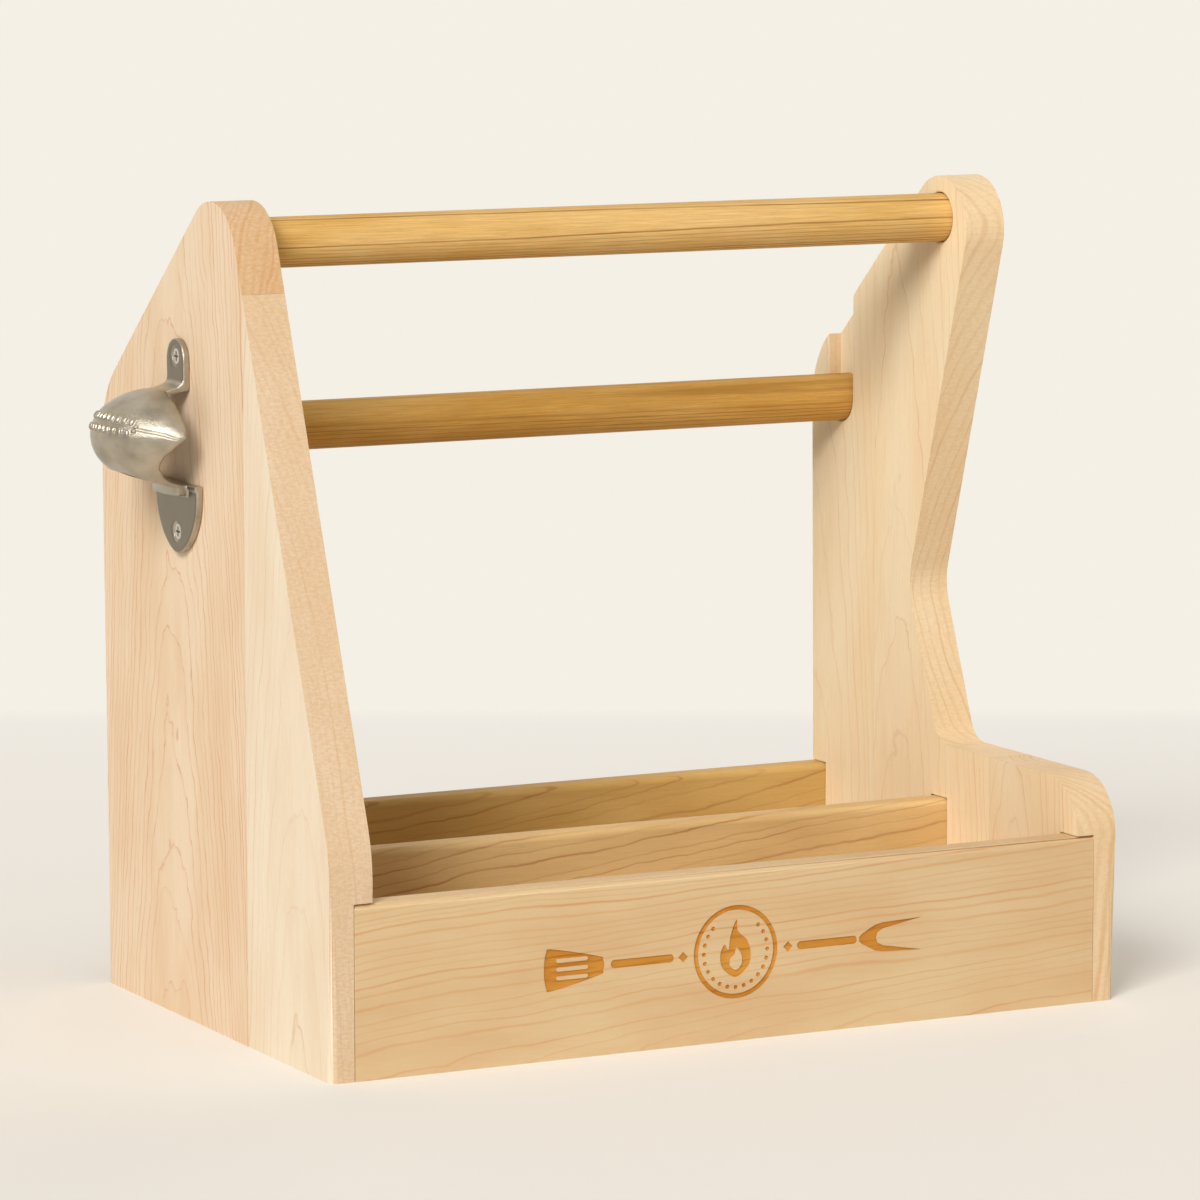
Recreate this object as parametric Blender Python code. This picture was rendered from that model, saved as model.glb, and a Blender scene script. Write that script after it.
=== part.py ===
# Barbecue caddy in maple: two edge-glued side panels, a low box with two bins, a fixed
# handle dowel, a lift-out paper-towel bar and a cast bottle opener with a football hood.
#
# Caddy coordinates: x runs from the left panel's outer face to the right panel's, y from
# the front face to the back, z up from the floor. Functions named ..._x, ..._y turn them
# into world places. Opener coordinates: u out from the wall, v along it, w up from the
# hood's axis.

import math

import bmesh
import bpy
from mathutils import Vector

# Overall woodwork
WIDTH = 0.3680
DEPTH = 0.2325
HEIGHT = 0.3464
SIDE_THICKNESS = 0.01905
BOARD_THICKNESS = 0.0136
BOARD_HEIGHT = 0.0720
EDGE_ROUND = 0.0030

# Outline that both side panels share: back wall, its corner and the slope to the crown
BACK_SLOPE_DROP = 0.0899
BACK_CORNER_ROUND = 0.0400

# Left side panel: one long rake from the shoulder to the crown
LEFT_SHOULDER_HEIGHT = 0.0914
LEFT_SHOULDER_ROUND = 0.0600
LEFT_CROWN_SETBACK = 0.1126
LEFT_CROWN_RADIUS = 0.0255
LEFT_GLUE_LINE = 0.0815

# Right side panel: low shoulder, waist and crown
RIGHT_SHOULDER_HEIGHT = 0.0958
RIGHT_FRONT_ROUND = 0.0240
RIGHT_SHOULDER_SETBACK = 0.1174
RIGHT_SHOULDER_ROUND = 0.0130
RIGHT_WAIST_SETBACK = 0.1446
RIGHT_WAIST_HEIGHT = 0.1638
RIGHT_WAIST_ROUND = 0.0250
RIGHT_CROWN_SETBACK = 0.1192
RIGHT_CROWN_RADIUS = 0.0230
RIGHT_FRONT_GLUE_LINE = 0.0730
RIGHT_REAR_GLUE_LINE = 0.1750

# Joinery of the box
RABBET_LAP = 0.0084
DADO_DEPTH = 0.0064
FLOOR_THICKNESS = 0.0060
FLOOR_GROOVE_DEPTH = 0.0050
FLOOR_GROOVE_HEIGHT = 0.0060

# Handle dowel
HANDLE_RADIUS = 0.0106
HANDLE_SETBACK = 0.1194
HANDLE_DROP = 0.0182
HANDLE_SOCKET_DEPTH = 0.0095

# Paper-towel bar and its slots
BAR_RADIUS = 0.0106
BAR_FROM_BACK = 0.0258
BAR_UNDER_BACK_CORNER = 0.0148
BAR_END_PLAY = 0.0006
SLOT_DEPTH = 0.0064
SLOT_MOUTH_ROUND = 0.0040
DOWEL_CHAMFER = 0.0010
HOLE_EASE = 0.0010

# Bottle opener: place on the left panel and football hood
OPENER_SETBACK = 0.1445
OPENER_AXIS_HEIGHT = 0.2488
HOOD_HALF_LENGTH = 0.0338
HOOD_RISE = 0.0189
HOOD_BELLY = 0.0283
HOOD_BACK_OUT = 0.0110
HOOD_WALL = 0.0026

# Bottle opener: arms that the hood narrows to, with powers that set how fast it does
ARMS_DROP = 0.0244
ARMS_HALF_WIDTH = 0.0134
ARMS_OUT = 0.0115
ARMS_BACK_OUT = 0.0045
ARMS_HOLD = 1.4
ARMS_NARROWING = 2.2
ARMS_TUCK = 2.5
ARMS_ROUNDING = 3.2

# Bottle opener: corners (out, drop, rounding) of the mouth's rim and of the side notch
MOUTH_FRONT_DROP = 0.0118
MOUTH_RIM = ((0.0290, 0.0150, 0.0080), (0.0200, 0.0185, 0.0100), (0.0105, 0.0215, 0.0100))
NOTCH_TOP_OUT = 0.0118
NOTCH_TOP_RISE = 0.0006
NOTCH_EDGE = ((0.0181, 0.0072, 0.0040), (0.0182, 0.0122, 0.0050), (0.0126, 0.0186, 0.0080))
NOTCH_FOOT_OUT = 0.0060

# Bottle opener: plates, roof and ledge
PLATE_THICKNESS = 0.0032
PLATE_EDGE_ROUND = 0.0007
TAB_HALF_WIDTH = 0.0089
TAB_TOP = 0.0392
ROOF_TOP = 0.0206
ROOF_HALF_WIDTH = 0.0078
ROOF_FILLET = 0.0030
ROOF_STEP = 0.0002
LOWER_PLATE_HALF_WIDTH = 0.0218
LOWER_PLATE_SHOULDER = 0.0250
LOWER_PLATE_TAPER = 0.0257
LOWER_PLATE_CURVE = 1.2
LEDGE_DROP = 0.0207
LEDGE_OUT = 0.0041
LEDGE_THICKNESS = 0.0016
LEDGE_FILLET = 0.0014
TOOTH_OUT = 0.0104
TOOTH_END_OUT = 0.0074
TOOTH_THICKNESS = 0.0045
TOOTH_END_EASE = 0.0004

# Opener screws
SCREW_HEAD_RADIUS = 0.0034
SCREW_SHANK_RADIUS = 0.0016
SCREW_LENGTH = 0.0180
SCREW_POINT = 0.0040
SCREW_SINK = 0.0008
SCREW_DISH_RADIUS = 0.0046
SCREW_CROSS_LENGTH = 0.0040
SCREW_CROSS_WIDTH = 0.0009
SCREW_CROSS_DEPTH = 0.0014
UPPER_SCREW_RISE = 0.0317
LOWER_SCREW_DROP = 0.0416

# Clearances
GLUE_GAP = 0.0001
FIT = 0.0003
OVERRUN = 0.0050

# Facets
ARC_STEP = math.radians(7.5)
EDGE_SEGMENTS = 3
DOWEL_SIDES = 48
HOOD_STATIONS = 32
HOOD_LEVELS = 11
ARMS_LEVELS = 11
ROOF_STEPS_ACROSS = 12
FILLET_STEPS = 5
TAPER_STEPS = 24
LEDGE_STEPS = 16
WOOD_SMOOTH = math.radians(40)
METAL_SMOOTH = math.radians(35)

# Shares and flats that keep a round end or a tip from closing to nothing
HALF_ROUND_SHARE = 0.9999
TIP_SHARE = 0.9995
POINT_FLAT = 0.0002

# Places worked out from the sizes above
HOOD_REACH = HOOD_BACK_OUT + HOOD_BELLY
LEFT_FACE_X = (HOOD_REACH - WIDTH) / 2
FRONT_FACE_Y = -DEPTH / 2
LEFT_INNER = SIDE_THICKNESS
RIGHT_INNER = WIDTH - SIDE_THICKNESS
BACK_WALL_HEIGHT = HEIGHT - BACK_SLOPE_DROP
DIVIDER_SETBACK = (DEPTH - BOARD_THICKNESS) / 2
HANDLE_HEIGHT = HEIGHT - HANDLE_DROP
BAR_SETBACK = DEPTH - BAR_FROM_BACK
BAR_HEIGHT = BACK_WALL_HEIGHT - BAR_UNDER_BACK_CORNER
SCREWS = (("upper", UPPER_SCREW_RISE), ("lower", -LOWER_SCREW_DROP))


def world_x(x):
    return LEFT_FACE_X + x


def world_y(y):
    return FRONT_FACE_Y + y


# Materials

def material(name, colour, roughness, metallic):
    new = bpy.data.materials.new(name)
    new.use_nodes = True
    shader = new.node_tree.nodes["Principled BSDF"]
    shader.inputs["Base Color"].default_value = (*colour, 1)
    shader.inputs["Roughness"].default_value = roughness
    shader.inputs["Metallic"].default_value = metallic
    new.diffuse_color = (*colour, 1)
    return new


# Flat outlines

def tangent_angle(point, centre, radius, turn):
    """Direction from point along the line that touches the circle, on the given side."""
    away = (centre[0] - point[0], centre[1] - point[1])
    return math.atan2(away[1], away[0]) + turn * math.asin(radius / math.hypot(*away))


def crossing(point_a, angle_a, point_b, angle_b):
    """Where a line through each point, at its angle, meets the other."""
    ca, sa = math.cos(angle_a), math.sin(angle_a)
    cb, sb = math.cos(angle_b), math.sin(angle_b)
    dy, dz = point_b[0] - point_a[0], point_b[1] - point_a[1]
    along = (dy * sb - dz * cb) / (ca * sb - sa * cb)
    return point_a[0] + along * ca, point_a[1] + along * sa


def crown_corner(front, back, setback, radius):
    """Corner that the crown's arc rounds: both slopes touch one circle under the top."""
    centre = (setback, HEIGHT - radius)
    return crossing(front, tangent_angle(front, centre, radius, 1),
                    back, tangent_angle(back, centre, radius, -1))


def rounded(corners):
    """Outline through the corners (a, b, radius), with an arc at each radius over zero."""
    points = []
    for index, (a, b, radius) in enumerate(corners):
        here = Vector((a, b))
        before = Vector(corners[index - 1][:2])
        after = Vector(corners[(index + 1) % len(corners)][:2])
        if radius <= 0:
            points.append((a, b))
            continue
        arrive = (here - before).normalized()
        leave = (after - here).normalized()
        turn = math.atan2(arrive.cross(leave), arrive.dot(leave))
        start = here - arrive * radius * math.tan(abs(turn) / 2)
        side = math.copysign(1, turn)
        centre = start + Vector((-arrive.y, arrive.x)) * radius * side
        spoke = start - centre
        steps = max(2, math.ceil(abs(turn) / ARC_STEP))
        for step in range(steps + 1):
            angle = turn * step / steps
            c, s = math.cos(angle), math.sin(angle)
            points.append((centre.x + spoke.x * c - spoke.y * s,
                           centre.y + spoke.x * s + spoke.y * c))
    return points


def circle(centre, radius, sides):
    return [(centre[0] + radius * math.cos(2 * math.pi * k / sides),
             centre[1] + radius * math.sin(2 * math.pi * k / sides)) for k in range(sides)]


# Solids

def finish_mesh(bm, name):
    bmesh.ops.recalc_face_normals(bm, faces=bm.faces)
    mesh = bpy.data.meshes.new(name)
    bm.to_mesh(mesh)
    bm.free()
    return mesh


def add_object(name, mesh, look, smooth_angle=0.0):
    new = bpy.data.objects.new(name, mesh)
    bpy.context.scene.collection.objects.link(new)
    if look:
        mesh.materials.append(look)
    if smooth_angle:
        mesh.shade_smooth()
        mesh.set_sharp_from_angle(angle=smooth_angle)
    return new


def loft(sections):
    """Closed solid through rings of the same number of points, capped at both ends."""
    bm = bmesh.new()
    rings = [[bm.verts.new(point) for point in section] for section in sections]
    for lower, upper in zip(rings, rings[1:]):
        for k in range(len(lower)):
            after = (k + 1) % len(lower)
            bm.faces.new((lower[k], lower[after], upper[after], upper[k]))
    bm.faces.new(rings[0])
    bm.faces.new(rings[-1])
    return bm


def prism_x(outline, x0, x1):
    """Outline in (y, z), drawn along x."""
    return loft([[(x, y, z) for y, z in outline] for x in (x0, x1)])


def block(x0, x1, y0, y1, z0, z1):
    return prism_x([(y0, z0), (y1, z0), (y1, z1), (y0, z1)], x0, x1)


def cutter(name, bm):
    """Guide solid that only shapes other pieces."""
    guide = add_object(name, finish_mesh(bm, name), None)
    guide.hide_render = True
    guide.display_type = "WIRE"
    return guide


def boolean(target, tool, operation="DIFFERENCE"):
    change = target.modifiers.new(operation.lower() + "_" + tool.name, "BOOLEAN")
    change.operation = operation
    change.object = tool
    change.solver = "EXACT"


def cut_together(target, tools):
    """Take all the tools out of the target in one step."""
    group = bpy.data.collections.new(target.name + "_cuts")
    for tool in tools:
        group.objects.link(tool)
    change = target.modifiers.new("cuts", "BOOLEAN")
    change.operation = "DIFFERENCE"
    change.operand_type = "COLLECTION"
    change.collection = group
    change.solver = "EXACT"


# Side panels

def left_outline():
    back = (DEPTH, BACK_WALL_HEIGHT)
    front = (0, LEFT_SHOULDER_HEIGHT)
    crown = crown_corner(front, back, LEFT_CROWN_SETBACK, LEFT_CROWN_RADIUS)
    return rounded([(0, 0, 0),
                    (DEPTH, 0, 0),
                    (*back, BACK_CORNER_ROUND),
                    (*crown, LEFT_CROWN_RADIUS),
                    (*front, LEFT_SHOULDER_ROUND)])


def right_outline():
    back = (DEPTH, BACK_WALL_HEIGHT)
    waist = (RIGHT_WAIST_SETBACK, RIGHT_WAIST_HEIGHT)
    crown = crown_corner(waist, back, RIGHT_CROWN_SETBACK, RIGHT_CROWN_RADIUS)
    return rounded([(0, 0, 0),
                    (DEPTH, 0, 0),
                    (*back, BACK_CORNER_ROUND),
                    (*crown, RIGHT_CROWN_RADIUS),
                    (*waist, RIGHT_WAIST_ROUND),
                    (RIGHT_SHOULDER_SETBACK, RIGHT_SHOULDER_HEIGHT, RIGHT_SHOULDER_ROUND),
                    (0, RIGHT_SHOULDER_HEIGHT, RIGHT_FRONT_ROUND)])


def panel(outline, x0, x1):
    """Side panel with its arrises eased, but not along the bottom."""
    bm = prism_x(outline, x0, x1)
    bm.edges.ensure_lookup_table()
    arrises = [edge for edge in bm.edges
               if edge.verts[0].co.x == edge.verts[1].co.x
               and max(vert.co.z for vert in edge.verts) > 0]
    bmesh.ops.bevel(bm, geom=arrises, offset=EDGE_ROUND, offset_type="OFFSET",
                    segments=EDGE_SEGMENTS, profile=0.5, affect="EDGES")
    return bm


def saw(bm, y, keep_behind):
    """Cut the panel along a plane across y and close the cut."""
    geometry = bm.verts[:] + bm.edges[:] + bm.faces[:]
    cut = bmesh.ops.bisect_plane(bm, geom=geometry, plane_co=(0, y, 0), plane_no=(0, 1, 0),
                                 clear_inner=keep_behind, clear_outer=not keep_behind)
    edges = [item for item in cut["geom_cut"] if isinstance(item, bmesh.types.BMEdge)]
    bmesh.ops.edgeloop_fill(bm, edges=edges)


def stave(name, outline, x0, x1, y0, y1, look):
    """One board of an edge-glued panel, from y0 to y1 (None at a free edge)."""
    bm = panel(outline, world_x(x0), world_x(x1))
    if y0 is not None:
        saw(bm, y0 + GLUE_GAP / 2, True)
    if y1 is not None:
        saw(bm, y1 - GLUE_GAP / 2, False)
    board = add_object(name, finish_mesh(bm, name), look, WOOD_SMOOTH)
    board.location.y = FRONT_FACE_Y
    return board


def eased_hole(name, outline_at, face_x, depth, inward, *shape):
    """Blind hole cut from a face: its outline grows by the eased arris at the face."""
    levels = [(-OVERRUN, HOLE_EASE)]
    for step in range(EDGE_SEGMENTS + 1):
        angle = math.pi / 2 * step / EDGE_SEGMENTS
        levels.append((HOLE_EASE * (1 - math.cos(angle)), HOLE_EASE * (1 - math.sin(angle))))
    levels.append((depth, 0))
    sections = [[(world_x(face_x + inward * down), world_y(y), z)
                 for y, z in outline_at(grow, *shape)] for down, grow in levels]
    return cutter(name, loft(sections))


def socket_outline(grow):
    return circle((HANDLE_SETBACK, HANDLE_HEIGHT), HANDLE_RADIUS + FIT + grow, DOWEL_SIDES)


def slot_outline(grow, crown_setback, crown_radius):
    """U-shaped slot, open above, whose mouth is rounded into the panel's back slope."""
    half = BAR_RADIUS + FIT + grow
    front, rear = BAR_SETBACK - half, BAR_SETBACK + half
    back = (DEPTH, BACK_WALL_HEIGHT)
    slope = tangent_angle(back, (crown_setback, HEIGHT - crown_radius), crown_radius, -1)
    mouth = crossing((front, 0), math.pi / 2, back, slope)
    ahead = (mouth[0] + math.cos(slope) * 3 * SLOT_MOUTH_ROUND,
             mouth[1] + math.sin(slope) * 3 * SLOT_MOUTH_ROUND)
    return rounded([(rear, HEIGHT + OVERRUN, 0),
                    (ahead[0], HEIGHT + OVERRUN, 0),
                    (*ahead, 0),
                    (*mouth, SLOT_MOUTH_ROUND),
                    (front, BAR_HEIGHT - half, half * HALF_ROUND_SHARE),
                    (rear, BAR_HEIGHT - half, half * HALF_ROUND_SHARE)])


def side_panel_cuts(side):
    """Rabbets, dado, floor groove, handle socket and bar slot of one side panel."""
    if side == "left":
        inner, inward, crown = LEFT_INNER, -1, (LEFT_CROWN_SETBACK, LEFT_CROWN_RADIUS)
    else:
        inner, inward, crown = RIGHT_INNER, 1, (RIGHT_CROWN_SETBACK, RIGHT_CROWN_RADIUS)

    def pocket(name, depth, y0, y1, z0, z1):
        ends = sorted((world_x(inner + inward * depth), world_x(inner - inward * OVERRUN)))
        return cutter(side + name, block(*ends, world_y(y0), world_y(y1), z0, z1))

    top = BOARD_HEIGHT + FIT
    floor = FLOOR_GROOVE_HEIGHT
    front = pocket("_front_rabbet", RABBET_LAP, -OVERRUN, BOARD_THICKNESS + FIT, -OVERRUN, top)
    back = pocket("_back_rabbet", RABBET_LAP, DEPTH - BOARD_THICKNESS - FIT, DEPTH + OVERRUN,
                  -OVERRUN, top)
    dado = pocket("_dado", DADO_DEPTH, DIVIDER_SETBACK - FIT,
                  DIVIDER_SETBACK + BOARD_THICKNESS + FIT, floor + FLOOR_THICKNESS, top)
    groove = pocket("_floor_groove", FLOOR_GROOVE_DEPTH, BOARD_THICKNESS / 2,
                    DEPTH - BOARD_THICKNESS / 2, floor, floor + FLOOR_THICKNESS + 2 * FIT)
    socket = eased_hole(side + "_handle_socket", socket_outline, inner, HANDLE_SOCKET_DEPTH, inward)
    slot = eased_hole(side + "_bar_slot", slot_outline, inner, SLOT_DEPTH, inward, *crown)
    return {"front": front, "back": back, "dado": dado, "groove": groove,
            "socket": socket, "slot": slot}


def left_side(maple, screw_holes):
    ends = (0, SIDE_THICKNESS)
    cuts = side_panel_cuts("left")
    front = stave("left_side_front_stave", left_outline(), *ends, None, LEFT_GLUE_LINE, maple)
    rear = stave("left_side_rear_stave", left_outline(), *ends, LEFT_GLUE_LINE, None, maple)
    cut_together(front, [cuts["front"], cuts["groove"]])
    names = ("back", "dado", "groove", "socket", "slot")
    cut_together(rear, [cuts[name] for name in names] + screw_holes)


def right_side(maple):
    ends = (RIGHT_INNER, WIDTH)
    cuts = side_panel_cuts("right")
    outline = right_outline()
    front = stave("right_side_front_stave", outline, *ends, None, RIGHT_FRONT_GLUE_LINE, maple)
    middle = stave("right_side_middle_stave", outline, *ends, RIGHT_FRONT_GLUE_LINE,
                   RIGHT_REAR_GLUE_LINE, maple)
    rear = stave("right_side_rear_stave", outline, *ends, RIGHT_REAR_GLUE_LINE, None, maple)
    cut_together(front, [cuts["front"], cuts["groove"]])
    cut_together(middle, [cuts["dado"], cuts["groove"], cuts["socket"]])
    cut_together(rear, [cuts["back"], cuts["groove"], cuts["slot"]])


# Box

def wall_board(name, let_in, y0, z0, grooves, look):
    """Board between the side panels, top arrises rounded, with floor grooves in its faces."""
    x0 = world_x(SIDE_THICKNESS - let_in + FIT)
    x1 = world_x(WIDTH - SIDE_THICKNESS + let_in - FIT)
    outline = rounded([(y0, z0, 0), (y0 + BOARD_THICKNESS, z0, 0),
                       (y0 + BOARD_THICKNESS, BOARD_HEIGHT, EDGE_ROUND),
                       (y0, BOARD_HEIGHT, EDGE_ROUND)])
    board = add_object(name, finish_mesh(prism_x(outline, x0, x1), name), look, WOOD_SMOOTH)
    board.location.y = FRONT_FACE_Y
    for index, (near, far) in enumerate(grooves):
        groove = cutter(name + "_groove" + str(index),
                        block(x0 - OVERRUN, x1 + OVERRUN, world_y(near), world_y(far),
                              FLOOR_GROOVE_HEIGHT,
                              FLOOR_GROOVE_HEIGHT + FLOOR_THICKNESS + 2 * FIT))
        boolean(board, groove)
    return board


def box_boards(maple):
    back_y = DEPTH - BOARD_THICKNESS
    wall_board("front_board", RABBET_LAP, 0, 0,
               [(BOARD_THICKNESS - FLOOR_GROOVE_DEPTH, BOARD_THICKNESS + OVERRUN)], maple)
    wall_board("divider_board", DADO_DEPTH, DIVIDER_SETBACK,
               FLOOR_GROOVE_HEIGHT + FLOOR_THICKNESS + 2 * FIT, [], maple)
    wall_board("back_board", RABBET_LAP, back_y, 0,
               [(back_y - OVERRUN, back_y + FLOOR_GROOVE_DEPTH)], maple)


def bottom_panel(look):
    inset_x = SIDE_THICKNESS - FLOOR_GROOVE_DEPTH + FIT
    inset_y = BOARD_THICKNESS - FLOOR_GROOVE_DEPTH + FIT
    z0 = FLOOR_GROOVE_HEIGHT + FIT
    bm = block(world_x(inset_x), world_x(WIDTH - inset_x), inset_y, DEPTH - inset_y,
               z0, z0 + FLOOR_THICKNESS)
    panel_object = add_object("bottom_panel", finish_mesh(bm, "bottom_panel"), look)
    panel_object.location.y = FRONT_FACE_Y


# Dowels

def dowel(name, radius, half_length, place, look):
    """Round bar along x about its own centre, with chamfered ends."""
    small = radius - DOWEL_CHAMFER
    rings = [(-half_length, small), (-half_length + DOWEL_CHAMFER, radius),
             (half_length - DOWEL_CHAMFER, radius), (half_length, small)]
    sections = [[(x, y, z) for y, z in circle((0, 0), size, DOWEL_SIDES)] for x, size in rings]
    bar = add_object(name, finish_mesh(loft(sections), name), look, WOOD_SMOOTH)
    bar.location = place
    return bar


def dowels(look):
    middle_x = world_x(WIDTH / 2)
    inner_half = WIDTH / 2 - SIDE_THICKNESS
    dowel("handle_dowel", HANDLE_RADIUS, inner_half + HANDLE_SOCKET_DEPTH - FIT,
          (middle_x, world_y(HANDLE_SETBACK), HANDLE_HEIGHT), look)
    dowel("towel_bar", BAR_RADIUS, inner_half + SLOT_DEPTH - BAR_END_PLAY,
          (middle_x, world_y(BAR_SETBACK), BAR_HEIGHT), look)


# Bottle opener, in opener coordinates about the point where its axis meets the wall

def opener_point(u, v, w):
    return (-u, v, w)


def hood_arc():
    """Radius of the arc that the football's rim is drawn with, and its centre's drop."""
    radius = (HOOD_HALF_LENGTH ** 2 + HOOD_RISE ** 2) / (2 * HOOD_RISE)
    return radius, radius - HOOD_RISE


def hood_height(v, inset):
    """Height of the football's lens-shaped rim at v, inside its skin by inset."""
    radius, drop = hood_arc()
    return math.sqrt((radius - inset) ** 2 - v * v) - drop


def hood_half_length(w, inset):
    """Where the football's rim crosses height w."""
    radius, drop = hood_arc()
    return math.sqrt((radius - inset) ** 2 - (drop + w) ** 2)


def hood_plan(across, w, inset):
    """(u, v) on the football at height w, across going from -1 to 1 between its ends."""
    v = hood_half_length(w, inset) * across
    rise = HOOD_RISE - inset
    out = (hood_height(v, inset) / rise) ** 2 - (w / rise) ** 2
    return HOOD_BACK_OUT + (HOOD_BELLY - inset) * math.sqrt(max(out, 0)), v


def arms_plan(across, w, inset):
    """(u, v) on the arms at w below the hood: a lens that grows into a small half ellipse."""
    down = min(-w / ARMS_DROP, 1)
    up = 1 - down ** ARMS_HOLD
    lens_share = up ** ARMS_ROUNDING
    wide_share = up ** ARMS_NARROWING
    tip = hood_half_length(0, inset)
    half = tip * wide_share + (ARMS_HALF_WIDTH - inset) * (1 - wide_share)
    front = HOOD_REACH - inset - (HOOD_REACH - ARMS_OUT) * down ** ARMS_TUCK
    back = HOOD_BACK_OUT - (HOOD_BACK_OUT - ARMS_BACK_OUT) * down
    lens = hood_height(tip * across, inset) / (HOOD_RISE - inset)
    ellipse = math.sqrt(max(1 - across * across, 0))
    return back + (front - back) * (ellipse + (lens - ellipse) * lens_share), half * across


def hood_solid(inset, back_out, low):
    """Football and arms in level sections, drawn back to back_out where that is given."""
    levels = [low]
    for k in range(ARMS_LEVELS):
        levels.append(-ARMS_DROP * (1 - k / ARMS_LEVELS))
    for k in range(HOOD_LEVELS):
        levels.append((HOOD_RISE - inset) * math.sin(math.pi / 2 * k / HOOD_LEVELS))
    levels.append((HOOD_RISE - inset) * TIP_SHARE)
    sections = []
    for w in levels:
        plan = []
        for station in range(HOOD_STATIONS + 1):
            across = math.sin(math.pi * (station / HOOD_STATIONS - 1 / 2))
            plan.append(hood_plan(across, w, inset) if w >= 0 else arms_plan(across, w, inset))
        if back_out is not None:
            plan = [(back_out, plan[0][1])] + plan + [(back_out, plan[-1][1])]
        sections.append([opener_point(u, v, w) for u, v in plan])
    return loft(sections)


def prism_v(outline, half):
    """Outline in (u, w), drawn along v to both sides."""
    return loft([[opener_point(u, v, w) for u, w in outline] for v in (-half, half)])


def under_mouth():
    """Everything below the mouth's rim, as seen from the side."""
    beyond = HOOD_REACH + OVERRUN
    low = -ARMS_DROP - 3 * OVERRUN
    rim = [(out, -drop, rounding) for out, drop, rounding in MOUTH_RIM]
    return rounded([(-OVERRUN, low, 0), (beyond, low, 0), (beyond, -MOUTH_FRONT_DROP, 0),
                    *rim, (-OVERRUN, rim[-1][1], 0)])


def side_notch():
    """Opening through both ends of the hood, as seen from the side."""
    edge = [(out, -drop, rounding) for out, drop, rounding in NOTCH_EDGE]
    return rounded([(-OVERRUN, NOTCH_TOP_RISE, 0), (NOTCH_TOP_OUT, NOTCH_TOP_RISE, 0), *edge,
                    (NOTCH_FOOT_OUT, -LEDGE_DROP, 0), (-OVERRUN, -LEDGE_DROP, 0)])


def roof_solid():
    """Roof from a fillet on the upper plate to the hood's rim, falling to both sides as it does."""
    end = HOOD_BACK_OUT + HOOD_WALL / 2
    above = ROOF_TOP + 2 * ROOF_FILLET
    profile = rounded([(0, ROOF_TOP - HOOD_WALL, 0),
                       (end, HOOD_RISE - HOOD_WALL + ROOF_STEP, 0),
                       (end, HOOD_RISE - 2 * ROOF_STEP, 0),
                       (PLATE_THICKNESS, ROOF_TOP, ROOF_FILLET),
                       (PLATE_THICKNESS, above, 0),
                       (0, above, 0)])
    sections = []
    for j in range(ROOF_STEPS_ACROSS + 1):
        across = 2 * j / ROOF_STEPS_ACROSS - 1
        fall = HOOD_RISE - hood_height(ROOF_HALF_WIDTH * across, 0)
        section = []
        for u, w in profile:
            half = TAB_HALF_WIDTH - (TAB_HALF_WIDTH - ROOF_HALF_WIDTH) * u / end
            section.append(opener_point(u, half * across, w - fall * u / HOOD_BACK_OUT))
        sections.append(section)
    return loft(sections)


def plate(outline):
    """Flat plate against the wall, its outer arris eased."""
    bm = loft([[opener_point(u, v, w) for v, w in outline] for u in (0, PLATE_THICKNESS)])
    arrises = [edge for edge in bm.edges
               if all(vert.co.x < -PLATE_THICKNESS / 2 for vert in edge.verts)]
    bmesh.ops.bevel(bm, geom=arrises, offset=PLATE_EDGE_ROUND, offset_type="OFFSET",
                    segments=2, profile=0.5, affect="EDGES")
    return bm


def tab_outline():
    half = TAB_HALF_WIDTH
    foot = ROOF_TOP - HOOD_WALL
    return rounded([(-half, foot, 0), (half, foot, 0),
                    (half, TAB_TOP, half * HALF_ROUND_SHARE),
                    (-half, TAB_TOP, half * HALF_ROUND_SHARE)])


def lower_plate_outline():
    """Straight sides above, closing below to a blunt rounded tip."""
    half, top = LOWER_PLATE_HALF_WIDTH, -LEDGE_DROP - LEDGE_THICKNESS / 2
    curve = [(-half, top), (half, top)]
    for k in range(TAPER_STEPS + 1):
        angle = math.pi * k / TAPER_STEPS
        across = math.copysign(abs(math.cos(angle)) ** LOWER_PLATE_CURVE, math.cos(angle))
        curve.append((half * across, -LOWER_PLATE_SHOULDER - LOWER_PLATE_TAPER * math.sin(angle)))
    return curve


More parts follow.
